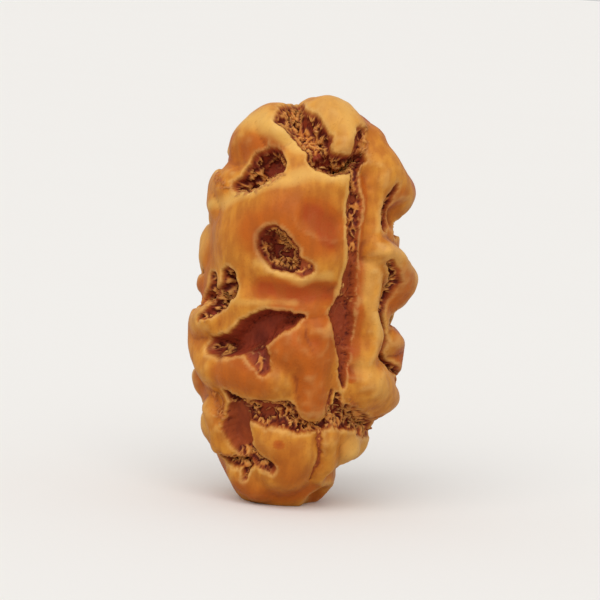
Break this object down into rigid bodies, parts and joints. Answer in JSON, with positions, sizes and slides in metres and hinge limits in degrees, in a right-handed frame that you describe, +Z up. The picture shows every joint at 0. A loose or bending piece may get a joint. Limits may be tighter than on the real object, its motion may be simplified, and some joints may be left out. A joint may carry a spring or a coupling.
{
  "type": "one mukhi rudraksha bead",
  "caption": "Elongated rudraksha seed stone with a single face line, plump lobes and deep rough pits, standing on its narrow end.",
  "frame": {"origin": "on the plane of the flat foot, under the middle of the bead's box", "axes": "+Z up the bead from its narrow end to its crown; -Y is the front, with the face line right of its middle; +X is to the right seen from the front"},
  "size_m": [0.0142, 0.0128, 0.0257],
  "materials": {
    "seed_stone": "waxed honey orange, dark maroon in the pits"
  },
  "bodies": {
    "root": {"rudraksha_bead": "seed_stone"}
  },
  "joints": []
}
